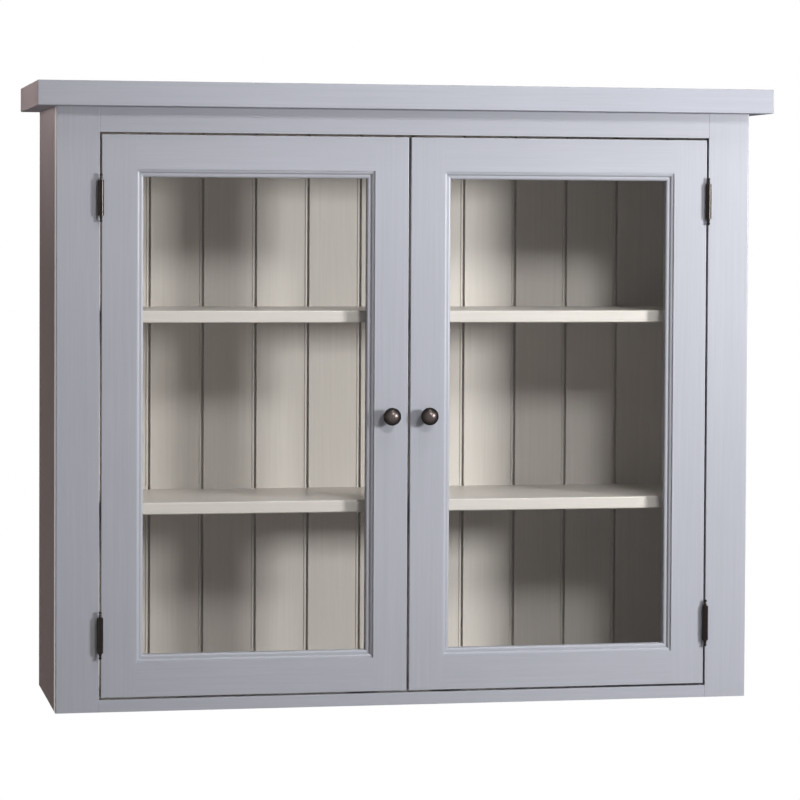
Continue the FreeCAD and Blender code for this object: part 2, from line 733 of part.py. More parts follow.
def glazing_beads(side):
    """Four beads round the back of the pane, each turned a quarter further."""
    wall = "(door_member - rebate_width)"
    across = f"({DOOR_WIDTH} - 2 * {wall})"
    up = f"({DOOR_HEIGHT} - 2 * {wall})"
    runs = [
        (across, wall, wall, 0),
        (up, f"{DOOR_WIDTH} - {wall}", wall, -90),
        (across, f"{DOOR_WIDTH} - {wall}", f"{DOOR_HEIGHT} - {wall}", 180),
        (up, wall, f"{DOOR_HEIGHT} - {wall}", 90),
    ]
    members = []
    for length, x, z, degrees in runs:
        bead = glazing_bead(side, length)
        turn = Rotation(Vector(0, 1, 0), degrees)
        place_in_door(bead, side, x, "glass_setback + glass_thickness", z, turn)
        members.append(bead)
    group(f"{side}_door_glazing_beads", members)


# Knobs

def knob(side):
    """A turned knob: foot, waist, and a rounded rim that runs on smoothly into a dome."""
    body = new_piece(f"{side}_door_knob")
    rim_middle = "(knob_radius - knob_rim_radius)"
    rim_back = "(knob_rim_height - knob_rim_radius)"
    sweep = f"({rim_middle} - knob_neck_radius)"
    foot_sweep = "(knob_rose_radius - knob_neck_radius)"
    rise = "(knob_projection - knob_rim_height)"
    dome_span = f"({rim_middle} ^ 2 + {rise} ^ 2 - knob_rim_radius ^ 2)"
    dome_radius = f"({dome_span} / (2 * ({rise} - knob_rim_radius)))"
    dome_centre = f"(knob_projection - {dome_radius})"
    outward = f"({dome_radius} / ({dome_radius} - knob_rim_radius))"
    dome_edge = f"({dome_centre} + (knob_rim_height - {dome_centre}) * {outward})"
    sketch = sketch_on(body, "XY_Plane")
    outline(sketch, [
        ("0", "0"),
        ("knob_rose_radius", "0"),
        ("knob_rose_radius", "knob_rose_height", "knob_rose_radius", f"knob_rose_height + {foot_sweep}"),
        ("knob_neck_radius", f"knob_rose_height + {foot_sweep}"),
        ("knob_neck_radius", f"{rim_back} - {sweep}", rim_middle, f"{rim_back} - {sweep}"),
        (rim_middle, rim_back, rim_middle, "knob_rim_height"),
        ("knob_radius", "knob_rim_height", rim_middle, "knob_rim_height"),
        (f"{rim_middle} * {outward}", dome_edge, "0", dome_centre),
        ("0", "knob_projection"),
    ])
    revolve(body, sketch)
    bore = sketch_on(body, "XZ_Plane")
    circle_at(bore, "0", "0", "knob_screw_radius + pin_play")
    pocket(body, bore, "knob_screw_reach + 1")
    x = flip(f"{DOOR_WIDTH} - knob_inset", DOOR_WIDTH, side)
    place_in_door(body, side, x, "0", f"knob_height - {DOOR_BOTTOM}", Rotation(Vector(0, 0, 1), 180))


def knob_screw(side):
    """A pan-head machine screw through the stile from behind, drawn from its tip."""
    body = new_piece(f"{side}_door_knob_screw")
    shank_end = "(knob_screw_reach + frame_thickness)"
    head_end = f"{shank_end} + knob_screw_head_height"
    round_edge = "knob_screw_head_height / 2"
    sketch = sketch_on(body, "XY_Plane")
    outline(sketch, [
        ("0", "0"),
        ("knob_screw_radius", "0"),
        ("knob_screw_radius", shank_end),
        ("knob_screw_head_radius", shank_end),
        ("knob_screw_head_radius", f"{shank_end} + {round_edge}",
         f"knob_screw_head_radius - {round_edge}", f"{shank_end} + {round_edge}"),
        (f"knob_screw_head_radius - {round_edge}", head_end),
        ("0", head_end),
    ])
    revolve(body, sketch)
    x = flip(f"{DOOR_WIDTH} - knob_inset", DOOR_WIDTH, side)
    place_in_door(body, side, x, "-knob_screw_reach", f"knob_height - {DOOR_BOTTOM}")


# Hinges. A hinge is drawn about its axis, up from the lower end of its knuckles.

def hinge_leaf(side, level, owner):
    """A leaf with every other knuckle, a bore for the pin and three countersunk screw holes."""
    body = new_piece(f"{side}_{level}_hinge_{owner}_leaf")
    to_right = (side == "left") == (owner == "door")
    sign = "" if to_right else "-"
    near = f"{sign}door_gap / 2"
    far = f"{sign}(door_gap / 2 + leaf_thickness)"
    plate = sketch_on(body, "XY_Plane")
    rectangle(plate, near, far, "hinge_proud", "hinge_proud + leaf_width")
    pad(body, plate, "hinge_length")
    knuckle = "hinge_length / 5"
    start = "knuckle_play" if owner == "frame" else f"{knuckle} + knuckle_play"
    neck_sketch = sketch_on(body, "XY_Plane", start)
    rectangle(neck_sketch, near, far, "0", "hinge_proud")
    neck = pad(body, neck_sketch, f"{knuckle} - 2 * knuckle_play")
    barrel_sketch = sketch_on(body, "XY_Plane", start)
    circle_at(barrel_sketch, "0", "0", "knuckle_radius")
    barrel = pad(body, barrel_sketch, f"{knuckle} - 2 * knuckle_play")
    repeat = body.newObject("PartDesign::LinearPattern", "Knuckles")
    repeat.Originals = [neck, barrel]
    repeat.Direction = (origin_feature(body, "Z_Axis"), [""])
    repeat.Occurrences = 3 if owner == "frame" else 2
    repeat.setExpression("Length", bound(f"{repeat.Occurrences - 1} * 2 * {knuckle}"))
    body.Tip = repeat
    doc.recompute()
    bore = sketch_on(body, "XY_Plane")
    circle_at(bore, "0", "0", "pin_radius + pin_play")
    pocket(body, bore, "hinge_length", reverse=True)
    screw_holes = sketch_on(body, "YZ_Plane", near)
    for back, up in leaf_screw_places():
        circle_at(screw_holes, f"hinge_proud + {back}", f"hinge_length / 2 + {up}", "screw_shank_radius")
    countersunk_holes(body, screw_holes, reverse=to_right)
    place_on_axis(body, side, level)


def place_on_axis(piece, side, level):
    axis = f"-{HINGE_AXIS}" if side == "left" else HINGE_AXIS
    place(piece, axis, "-hinge_proud", f"{HINGE_MIDDLES[level]} - hinge_length / 2")


def hinge_pin(side, level):
    """A pin with a turned finial at both ends: collar, tapered waist and ball."""
    body = new_body(f"{side}_{level}_hinge_pin")
    half = "hinge_length / 2"
    collar_top = f"{half} + finial_collar_height"
    ball_middle = f"({half} + finial_height - finial_ball_radius)"
    neck_top = f"{ball_middle} - sqrt(finial_ball_radius ^ 2 - finial_neck_radius ^ 2)"
    sketch = sketch_on(body, "XZ_Plane")
    outline(sketch, [
        ("0", "0"),
        ("pin_radius", "0"),
        ("pin_radius", half),
        ("finial_collar_radius", half),
        ("finial_collar_radius", collar_top),
        ("finial_neck_radius", neck_top, "0", ball_middle),
        ("0", f"{half} + finial_height"),
    ])
    upper_half = revolve(body, sketch)
    mirror = body.newObject("PartDesign::Mirrored", "BothEnds")
    mirror.Originals = [upper_half]
    mirror.MirrorPlane = (origin_feature(body, "XY_Plane"), [""])
    body.Tip = mirror
    doc.recompute()
    axis = f"-{HINGE_AXIS}" if side == "left" else HINGE_AXIS
    place(body, axis, "-hinge_proud", HINGE_MIDDLES[level])
    return body


# Catches

def catch_left_end(side):
    """Left end of a door's catch, measured in the door."""
    return flip(f"{DOOR_WIDTH} - catch_inset - catch_length", f"({DOOR_WIDTH} - catch_length)", side)


def catch_screw_places(side):
    """Screws of a catch: from the middle of the cabinet, and behind the face."""
    y = "frame_thickness + strike_thickness + catch_air + catch_depth / 2"
    places = []
    for across in ("catch_ear_length / 2", "catch_length - catch_ear_length / 2"):
        places.append((f"{DOOR_LEFT_EDGES[side]} + {catch_left_end(side)} + {across}", y))
    return places


def magnetic_catch(side):
    """A magnet case on the bottom panel behind the door, with a screw ear at each end."""
    body = new_piece(f"{side}_magnetic_catch")
    ears = sketch_on(body, "XY_Plane")
    rectangle(ears, "0", "catch_length", "0", "catch_depth")
    pad(body, ears, "catch_ear_height")
    case = sketch_on(body, "XY_Plane")
    rectangle(case, "catch_ear_length", "catch_length - catch_ear_length", "0", "catch_depth")
    pad(body, case, "catch_height")
    holes = sketch_on(body, "XY_Plane", "catch_ear_height")
    for across in ("catch_ear_length / 2", "catch_length - catch_ear_length / 2"):
        circle_at(holes, across, "catch_depth / 2", "screw_shank_radius")
    countersunk_holes(body, holes, reverse=False)
    front = "frame_thickness + strike_thickness + catch_air"
    place_in_door(body, side, catch_left_end(side), front, f"panel_thickness - {DOOR_BOTTOM}")


def catch_strike(side):
    """A steel plate on the back of the door, held by one countersunk screw."""
    body = new_piece(f"{side}_catch_strike")
    sketch = sketch_on(body, "XZ_Plane")
    rectangle(sketch, "0", "strike_length", "0", "strike_height")
    pad(body, sketch, "strike_thickness", reverse=True)
    holes = sketch_on(body, "XZ_Plane", "-strike_thickness")
    circle_at(holes, "strike_length / 2", "strike_height / 2", "screw_shank_radius")
    countersunk_holes(body, holes, reverse=True)
    x = f"{catch_left_end(side)} + (catch_length - strike_length) / 2"
    place_in_door(body, side, x, "frame_thickness", "strike_rise")


# Wood screws: each size is drawn once and repeated wherever it is needed

def wood_screw(size):
    """A countersunk screw of one of the two sizes, drawn along its axis, head first."""
    body = new_body(f"wood_{size}")
    sketch = sketch_on(body, "XZ_Plane")
    outline(sketch, [
        ("0", "0"),
        (f"{size}_head_radius", "0"),
        (f"{size}_shank_radius", f"{size}_head_radius - {size}_shank_radius"),
        (f"{size}_shank_radius", f"{size}_length - {SCREW_POINT}"),
        ("0", f"{size}_length"),
    ])
    revolve(body, sketch)
    return body


def repeat_screw(screw, x, y, z, direction):
    link = doc.addObject("App::Link", "screw")
    link.LinkedObject = screw
    place(link, x, y, z, Rotation(Vector(0, 0, 1), direction))
    return link


def leaf_screws(screw, side, owner):
    """Screws of both leaves of a door or of its frame stile."""
    to_right = (side == "left") == (owner == "door")
    axis = f"-{HINGE_AXIS}" if side == "left" else HINGE_AXIS
    x = f"{axis} + door_gap / 2" if to_right else f"{axis} - door_gap / 2"
    direction = Vector(1 if to_right else -1, 0, 0)
    links = []
    for middle in HINGE_MIDDLES.values():
        for back, up in leaf_screw_places():
            links.append(repeat_screw(screw, x, back, f"{middle} + {up}", direction))
    return links


def catch_screws(screw, side):
    head = "panel_thickness + catch_ear_height"
    return [repeat_screw(screw, x, y, head, Vector(0, 0, -1)) for x, y in catch_screw_places(side)]


def strike_screw(screw, side):
    x = f"{DOOR_LEFT_EDGES[side]} + {catch_left_end(side)} + catch_length / 2"
    z = f"{DOOR_BOTTOM} + strike_rise + strike_height / 2"
    return repeat_screw(screw, x, "frame_thickness + strike_thickness", z, Vector(0, -1, 0))


def top_board_screws():
    screw = wood_screw("top_screw")
    head = "body_height - panel_thickness"
    links = [repeat_screw(screw, x, y, head, Vector(0, 0, 1)) for x, y in top_screw_places()]
    group("top_board_screws", links)


# The whole cabinet

def build_carcass():
    for side in SIDES:
        side_panel(side)
        frame_stile(side)
    bottom_panel()
    top_panel()
    shelf("lower_shelf", "lower_shelf_top")
    shelf("upper_shelf", "upper_shelf_top")
    top_board()
    frame_rail("face_frame_top_rail", "body_height - frame_top_rail", "frame_top_rail")
    frame_rail("face_frame_bottom_rail", "0", "frame_bottom_rail")
    faces = board_faces()
    for row, (start, stop) in enumerate(faces, 1):
        back_board(f"back_board_{row:02d}", start, stop, row == 1, row == len(faces))
    hanging_rail("upper_hanging_rail", "body_height - hanging_rail_height")
    hanging_rail("lower_hanging_rail", "0")


def build_door(side, screw):
    for edge in ("hinge", "meeting"):
        door_stile(side, edge)
    for edge in ("top", "bottom"):
        door_rail(side, edge)
    door_glass(side)
    glazing_beads(side)
    knob(side)
    knob_screw(side)
    for level in HINGE_MIDDLES:
        hinge_leaf(side, level, "door")
    catch_strike(side)
    group(f"{side}_door_screws", leaf_screws(screw, side, "door") + [strike_screw(screw, side)])


def build_fittings(screw):
    pins = []
    screws = []
    for side in SIDES:
        for level in HINGE_MIDDLES:
            hinge_leaf(side, level, "frame")
            pins.append(hinge_pin(side, level))
        magnetic_catch(side)
        screws += leaf_screws(screw, side, "frame") + catch_screws(screw, side)
    group("hinge_pins", pins)
    group("carcass_screws", screws)
    top_board_screws()


def write_parts():
    doc.recompute()
    faults = [item.Label for item in doc.Objects if {"Invalid", "Error"} & set(item.State)]
    faults += [piece.Label for piece in pieces if piece.Shape.isNull() or not piece.Shape.isValid()]
    if faults:
        raise RuntimeError(f"not built: {faults}")
    os.makedirs("parts", exist_ok=True)
    for piece in pieces:
        piece.Shape.exportStep(f"parts/{piece.Label}.step")
        print(f"{piece.Label}: {len(piece.Shape.Solids)} solid, {piece.Shape.Volume / 1000:.1f} cm3")
    print(f"{len(pieces)} nodes")


fill_sheet()
build_carcass()
master_screw = wood_screw("screw")
for door_side in SIDES:
    build_door(door_side, master_screw)
build_fittings(master_screw)
write_parts()
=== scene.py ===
# %% [markdown]
# # A painted hanging display cabinet
#
# The real cabinet is joiner's work: a softwood box with a boarded back, a face frame, and two glazed doors
# on butt hinges, brushed with lilac-grey paint outside and cream paint inside. Its solids come from the
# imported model, in metres, and stay as they are. This lesson gives each of them its finish, turns slotted
# screws for the fittings, and then sets up the floor, the lamps and the camera.

# %% Load the cabinet
import math

import bmesh
import bpy
from mathutils import Matrix, Vector


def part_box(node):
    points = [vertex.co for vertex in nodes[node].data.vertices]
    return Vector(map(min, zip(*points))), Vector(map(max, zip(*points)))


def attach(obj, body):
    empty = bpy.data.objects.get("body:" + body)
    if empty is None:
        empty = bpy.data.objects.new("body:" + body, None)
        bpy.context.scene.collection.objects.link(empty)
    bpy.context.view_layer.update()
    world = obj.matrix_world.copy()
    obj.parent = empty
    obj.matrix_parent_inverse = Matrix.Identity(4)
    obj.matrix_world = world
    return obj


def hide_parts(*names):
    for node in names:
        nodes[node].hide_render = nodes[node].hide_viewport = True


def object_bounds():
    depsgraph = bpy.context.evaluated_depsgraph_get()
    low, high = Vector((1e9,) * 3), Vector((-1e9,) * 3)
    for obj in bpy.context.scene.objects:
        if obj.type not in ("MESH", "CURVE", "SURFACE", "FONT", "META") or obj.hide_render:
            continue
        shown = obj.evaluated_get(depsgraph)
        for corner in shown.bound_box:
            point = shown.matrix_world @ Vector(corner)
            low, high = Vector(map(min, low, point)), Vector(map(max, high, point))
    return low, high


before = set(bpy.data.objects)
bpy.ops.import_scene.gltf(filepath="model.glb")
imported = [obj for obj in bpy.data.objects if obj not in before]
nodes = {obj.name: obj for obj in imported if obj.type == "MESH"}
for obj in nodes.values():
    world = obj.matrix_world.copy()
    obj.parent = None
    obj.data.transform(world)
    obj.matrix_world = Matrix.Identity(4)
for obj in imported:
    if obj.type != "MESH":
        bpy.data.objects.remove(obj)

cad_box = [list(corner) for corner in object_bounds()]

# %% [markdown]
# ## Placing nodes from a script
#
# A material is a graph of nodes. In the editor each node is dragged into place and wired by hand. In a
# script the same takes three or four lines a node, so a few helpers do the placing, the setting and the
# wiring in one call. An input is named as in the editor, with an underscore for a space. Only the Mix node
# has several inputs of one name, a set for each kind of data, so its sockets are found by number.

# %% Helpers for node graphs
MIX_SOCKETS = {"FLOAT": (2, 3, 0), "RGBA": (6, 7, 2)}


def join(tree, value, socket):
    """Wire a socket to another one, or set it to a plain value."""
    if isinstance(value, bpy.types.NodeSocket):
        tree.links.new(value, socket)
    else:
        socket.default_value = value


def add(tree, kind, settings=None, **inputs):
    """Place a node of a kind, with its settings and its inputs."""
    node = tree.nodes.new(f"ShaderNode{kind}")
    for name, setting in (settings or {}).items():
        setattr(node, name, setting)
    for name, value in inputs.items():
        join(tree, value, node.inputs[name.replace("_", " ")])
    return node


def calculate(tree, operation, first, second=0.0):
    node = add(tree, "Math", {"operation": operation})
    join(tree, first, node.inputs[0])
    join(tree, second, node.inputs[1])
    return node.outputs[0]


def mix(tree, kind, share, first, second):
    """The first value where the share is 0, the second where it is 1."""
    node = add(tree, "Mix", {"data_type": kind})
    first_input, second_input, result = MIX_SOCKETS[kind]
    join(tree, share, node.inputs[0])
    join(tree, first, node.inputs[first_input])
    join(tree, second, node.inputs[second_input])
    return node.outputs[result]


def between(tree, value, low, high):
    """Stretch a value that runs from 0 to 1 so that it runs from low to high."""
    return add(tree, "MapRange", Value=value, To_Min=low, To_Max=high).outputs["Result"]


def noise(tree, position, scale, detail=2.0):
    return add(tree, "TexNoise", Vector=position, Scale=scale, Detail=detail).outputs["Fac"]


def scaled(tree, position, factors):
    """A position with a factor on each axis. A small factor draws a pattern out along its axis."""
    node = add(tree, "VectorMath", {"operation": "MULTIPLY"})
    join(tree, position, node.inputs[0])
    join(tree, factors, node.inputs[1])
    return node.outputs[0]


def length(tree, vector):
    return add(tree, "VectorMath", {"operation": "LENGTH"}, Vector=vector).outputs["Value"]


print("kinds of data to mix:", ", ".join(MIX_SOCKETS))

# %% [markdown]
# ## Brushed paint
#
# Both paints were laid on with a brush along the grain. What shows from near is a skin of fine ridges a
# millimetre apart, broader strokes as wide as a bundle of bristles, and a slow drift of tone from board to
# board. An image texture would repeat and would need unwrapping. Noise that is drawn out along one axis
# gives ridges of any length without either. As both paints share it, it is a node group: the paint's colour
# goes in, and a broken colour, a roughness and a height come out.

# %% The brushed paint group
SURFACE_OUTPUTS = {"Color": "Color", "Roughness": "Float", "Height": "Float"}
RIDGES_PER_METRE = 900.0
STROKES_PER_METRE = 240.0
DRIFTS_PER_METRE = 6.0
RIDGE_SHARE = 0.6
STROKE_TONES = (0.88, 1.12)
DRIFT_TONES = (0.96, 1.04)
RIDGE_ROUGHNESS = (0.92, 1.08)


def new_group(name, inputs, outputs):
    """An empty node group with named sockets."""
    group = bpy.data.node_groups.new(name, "ShaderNodeTree")
    for direction, sockets in (("INPUT", inputs), ("OUTPUT", outputs)):
        for socket, kind in sockets.items():
            group.interface.new_socket(socket, in_out=direction, socket_type=f"NodeSocket{kind}")
    return group, group.nodes.new("NodeGroupInput").outputs, group.nodes.new("NodeGroupOutput").inputs


def brushed_paint_group():
    inputs = {"Position": "Vector", "Run": "Vector", "Paint": "Color", "Rough": "Float"}
    group, given, result = new_group("brushed paint", inputs, SURFACE_OUTPUTS)
    along = scaled(group, given["Position"], given["Run"])
    ridges = noise(group, along, RIDGES_PER_METRE, 3.0)
    strokes = noise(group, along, STROKES_PER_METRE)
    drift = noise(group, given["Position"], DRIFTS_PER_METRE)
    relief = mix(group, "FLOAT", RIDGE_SHARE, strokes, ridges)
    stroke_tone = between(group, relief, *STROKE_TONES)
    tone = calculate(group, "MULTIPLY", stroke_tone, between(group, drift, *DRIFT_TONES))
    broken = add(group, "VectorMath", {"operation": "SCALE"}, Vector=given["Paint"], Scale=tone)
    rough = calculate(group, "MULTIPLY", between(group, ridges, *RIDGE_ROUGHNESS), given["Rough"])
    join(group, broken.outputs[0], result["Color"])
    join(group, rough, result["Roughness"])
    join(group, relief, result["Height"])
    return group


brushed_paint = brushed_paint_group()
print(f"{brushed_paint.name}: {len(brushed_paint.nodes)} nodes")

# %% [markdown]
# ## Bare softwood
#
# Nobody paints what faces the wall. The hanging rails and the backs of the boards are left as sawn
# softwood: pale spring growth with narrow amber lines of summer growth, drawn out along the board. A wave
# texture makes rings that are too even. Here a slow noise is multiplied up and only its fraction is kept,
# which gives lines that crowd and spread as a plank's figure does.

# %% The softwood group
SPRING_WOOD = (0.62, 0.45, 0.27, 1.0)
SUMMER_WOOD = (0.43, 0.26, 0.12, 1.0)
FIGURES_PER_METRE = 14.0
RINGS_PER_FIGURE = 14.0
RING_SHARPNESS = 3.0
RING_SHADE = 0.8
PORE_SHADES = (-0.1, 0.3)
WOOD_ROUGHNESS = (0.6, 0.85)


def softwood_group():
    inputs = {"Position": "Vector", "Run": "Vector"}
    group, given, result = new_group("bare softwood", inputs, SURFACE_OUTPUTS)
    along = scaled(group, given["Position"], given["Run"])
    figure = calculate(group, "MULTIPLY", noise(group, along, FIGURES_PER_METRE), RINGS_PER_FIGURE)
    ring = calculate(group, "POWER", calculate(group, "FRACT", figure), RING_SHARPNESS)
    pores = noise(group, along, RIDGES_PER_METRE, 3.0)
    ring_shade = calculate(group, "MULTIPLY", ring, RING_SHADE)
    shade = calculate(group, "ADD", ring_shade, between(group, pores, *PORE_SHADES))
    join(group, mix(group, "RGBA", shade, SPRING_WOOD, SUMMER_WOOD), result["Color"])
    join(group, between(group, pores, *WOOD_ROUGHNESS), result["Roughness"])
    join(group, pores, result["Height"])
    return group


softwood = softwood_group()
print(f"{softwood.name}: {len(softwood.nodes)} nodes")

# %% [markdown]
# ## Two paints on one piece
#
# A side panel is grey outside and cream inside. A back board is cream in front and bare behind. Such a piece
# could be split, or its faces could be given several materials, but its mesh belongs to the solids and stays
# whole. So the next coat starts where the piece passes a plane, such as the middle of the panel's thickness.
# The top, the ends and the boards are matt. The frame, the doors and the shelves have a satin skin, which
# catches highlights and makes the colour below it look deeper.

# %% Coats of paint
GREY = (0.404, 0.415, 0.466)
CREAM = (0.662, 0.618, 0.578)
BARE = None
MATT = {"gloss": 0.0, "rough": 0.75, "depth": 1.0}
SATIN = {"gloss": 0.5, "rough": 0.34, "depth": 0.93}
BRUSH_RELIEF = 0.00006


def new_material(name):
    """A material with its shader, and the place on the piece that patterns are read from."""
    material = bpy.data.materials.new(name)
    material.use_nodes = True
    tree = material.node_tree
    position = add(tree, "TexCoord").outputs["Object"]
    return material, tree, tree.nodes["Principled BSDF"], position


def coat(tree, position, run, paint, sheen):
    """One coat of paint, or the bare wood where there is none."""
    if paint is BARE:
        return add(tree, "Group", {"node_tree": softwood}, Position=position, Run=run).outputs
    group = add(tree, "Group", {"node_tree": brushed_paint}, Position=position, Run=run, Rough=sheen["rough"])
    group.inputs["Paint"].default_value = [part * sheen["depth"] for part in paint] + [1.0]
    return group.outputs


def wood_finish(name, run, paint, *later_coats, sheen=MATT):
    """Wood with a coat all over, and later coats past a plane: an axis, its side and a place on it."""
    material, tree, shader, position = new_material(name)
    surface = coat(tree, position, run, paint, sheen)
    for next_paint, (axis, side, limit) in later_coats:
        place = add(tree, "SeparateXYZ", Vector=position).outputs[axis]
        if axis == "X":
            place = calculate(tree, "ABSOLUTE", place)
        past = calculate(tree, side, place, limit)
        over = coat(tree, position, run, next_paint, sheen)
        surface = {
            "Color": mix(tree, "RGBA", past, surface["Color"], over["Color"]),
            "Roughness": mix(tree, "FLOAT", past, surface["Roughness"], over["Roughness"]),
            "Height": mix(tree, "FLOAT", past, surface["Height"], over["Height"]),
        }
    relief = add(tree, "Bump", Strength=1.0, Distance=BRUSH_RELIEF, Height=surface["Height"])
    join(tree, surface["Color"], shader.inputs["Base Color"])
    join(tree, surface["Roughness"], shader.inputs["Roughness"])
    join(tree, relief.outputs["Normal"], shader.inputs["Normal"])
    shader.inputs["Specular IOR Level"].default_value = sheen["gloss"]
    return material


print("grey", GREY, "cream", CREAM)

# %% [markdown]
# ## Which paint goes where
#
# A joiner picks the pieces up one by one and brushes each along its grain: upright on stiles, sides and
# boards, level on rails, shelves and panels. Here the names of the pieces say which is which, because a
# name's ending is the kind of the piece. The planes where a second coat starts are measured on the pieces
# themselves, so they would follow a change of size. Both sides share one material, so their plane is a
# distance from the cabinet's middle.

# %% Coat every wooden piece
STRETCH = 0.014
UPRIGHT = (1.0, 1.0, STRETCH)
LEVEL = (STRETCH, 1.0, 1.0)
BARE_DEPTH = 0.001


def middle(name, axis):
    low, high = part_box(name)
    return (low[axis] + high[axis]) / 2


def named(*endings):
    return [name for name in nodes if name.endswith(endings)]


def dress(node_names, material):
    """Give pieces a material in place of the plain one that they came with."""
    for name in node_names:
        nodes[name].data.materials.clear()
        nodes[name].data.materials.append(material)
    print(f"{material.name}: {len(node_names)} pieces")


cream_inside = (CREAM, ("X", "LESS_THAN", abs(middle("left_side", 0))))
grey_below = (GREY, ("Z", "LESS_THAN", middle("bottom_panel", 2)))
bare_behind = (BARE, ("Y", "GREATER_THAN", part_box("back_board_01")[1].y - BARE_DEPTH))
back_boards = [name for name in nodes if name.startswith("back_board")]
level_grey = named("top_rail", "bottom_rail", "glazing_beads")
level_cream = named("shelf") + ["top_panel"]

dress(named("stile"), wood_finish("grey_upright", UPRIGHT, GREY, sheen=SATIN))
dress(level_grey, wood_finish("grey_level", LEVEL, GREY, sheen=SATIN))
dress(["top_board"], wood_finish("grey_level_matt", LEVEL, GREY))
dress(["left_side", "right_side"], wood_finish("grey_upright_cream_inside", UPRIGHT, GREY, cream_inside))
dress(back_boards, wood_finish("cream_upright_bare_behind", UPRIGHT, CREAM, bare_behind))
dress(level_cream, wood_finish("cream_level", LEVEL, CREAM, sheen=SATIN))
dress(["bottom_panel"], wood_finish("cream_level_grey_below", LEVEL, CREAM, grey_below, sheen=SATIN))
dress(named("hanging_rail"), wood_finish("bare_level", LEVEL, BARE))

# %% [markdown]
# ## Dark bronze
#
# The knobs and hinges are brass that was darkened in a bath: brown-black all over, with blotches that break
# up the highlights. Hands have since rubbed the domes of the knobs back to a warm brown, and left the dark
# skin round their rims. The pale dome and the dark rim are also a painted reflection: a knob in a dim room
# mirrors mid tones on its face and darkness at its rim. Each knob could have a material with its own middle.
# As they are mirror images, one that measures from the nearer knob's axis serves both.

# %% Bronze for knobs, hinges and pins
BRONZE_DARK = (0.012, 0.010, 0.009, 1.0)
BRONZE_BLOTCH = (0.034, 0.029, 0.027, 1.0)
# The rubbed colour and the dark rim are rubbed wear and also a painted reflection on the knobs.
BRONZE_RUBBED_AND_REFLECTING = (0.100, 0.081, 0.077, 1.0)
BLOTCHES_PER_METRE = 260.0
SCRATCHES_PER_METRE = 2600.0
DARK_FROM = 0.0110
RUBBED_AND_REFLECTING_WITHIN = 0.0050
UNEVEN_RUB_AND_REFLECTION = (0.6, 1.2)
FITTING_RELIEF = 0.00002


def from_nearer_axis(tree, position, axis):
    """How far a point is from the axis of the knob on its side. The axis is given by its x and z."""
    parts = add(tree, "SeparateXYZ", Vector=position).outputs
    across = calculate(tree, "SUBTRACT", calculate(tree, "ABSOLUTE", parts["X"]), axis[0])
    up = calculate(tree, "SUBTRACT", parts["Z"], axis[1])
    return length(tree, add(tree, "CombineXYZ", X=across, Z=up).outputs[0])


def bronze_finish(name, roughness, rub_and_reflection_axis=None):
    material, tree, shader, position = new_material(name)
    blotches = noise(tree, position, BLOTCHES_PER_METRE, 4.0)
    scratches = noise(tree, position, SCRATCHES_PER_METRE)
    colour = mix(tree, "RGBA", blotches, BRONZE_DARK, BRONZE_BLOTCH)
    # Rubbed wear and painted reflection: the knob's dome is paler and its rim dark, as a knob in a dim room
    # would mirror.
    if rub_and_reflection_axis:
        reach = from_nearer_axis(tree, position, rub_and_reflection_axis)
        rubbed_and_reflecting = add(tree, "MapRange", Value=reach, From_Min=DARK_FROM, From_Max=RUBBED_AND_REFLECTING_WITHIN).outputs[0]
        uneven_rub_and_reflection = calculate(tree, "MULTIPLY", rubbed_and_reflecting, between(tree, blotches, *UNEVEN_RUB_AND_REFLECTION))
        colour = mix(tree, "RGBA", uneven_rub_and_reflection, colour, BRONZE_RUBBED_AND_REFLECTING)
    relief = add(tree, "Bump", Strength=0.4, Distance=FITTING_RELIEF, Height=scratches)
    join(tree, colour, shader.inputs["Base Color"])
    join(tree, between(tree, blotches, *roughness), shader.inputs["Roughness"])
    join(tree, relief.outputs["Normal"], shader.inputs["Normal"])
    shader.inputs["Metallic"].default_value = 1.0
    return material


hinges = named("hinge_frame_leaf", "hinge_door_leaf") + ["hinge_pins"]
knob_axis = (abs(middle("left_door_knob", 0)), middle("left_door_knob", 2))
dress(hinges, bronze_finish("dark_bronze", (0.24, 0.14)))
dress(named("door_knob"), bronze_finish("rubbed_bronze_painted_reflection", (0.38, 0.25), knob_axis))

# %% [markdown]
# ## Zinc and plastic
#
# Screws and strike plates are zinc plated, which dulls into pale clouds. The magnets sit in moulded cases
# with a fine spark-eroded grain. A workshop makes the two in very different ways. To a shader they are
# alike, a small pattern that moves between two colours and two roughnesses, so one function makes both.

# %% Zinc for screws and strikes, plastic for the catches
ZINC_BRIGHT = (0.62, 0.62, 0.63, 1.0)
ZINC_DULL = (0.40, 0.40, 0.42, 1.0)
CASE_PALE = (0.66, 0.62, 0.56, 1.0)
CASE_SHADE = (0.58, 0.54, 0.48, 1.0)
CLOUDS_PER_METRE = 420.0
GRAINS_PER_METRE = 3000.0


def fitting_finish(name, grain, pale, shade, roughness, metallic):
    material, tree, shader, position = new_material(name)
    clouds = noise(tree, position, grain, 4.0)
    relief = add(tree, "Bump", Strength=0.3, Distance=FITTING_RELIEF, Height=clouds)
    join(tree, mix(tree, "RGBA", clouds, pale, shade), shader.inputs["Base Color"])
    join(tree, between(tree, clouds, *roughness), shader.inputs["Roughness"])
    join(tree, relief.outputs["Normal"], shader.inputs["Normal"])
    shader.inputs["Metallic"].default_value = metallic
    return material


zinc = fitting_finish("zinc", CLOUDS_PER_METRE, ZINC_BRIGHT, ZINC_DULL, (0.28, 0.45), 1.0)
case = fitting_finish("catch_case", GRAINS_PER_METRE, CASE_PALE, CASE_SHADE, (0.5, 0.6), 0.0)
dress(named("screws", "knob_screw", "catch_strike"), zinc)
dress(named("magnetic_catch"), case)

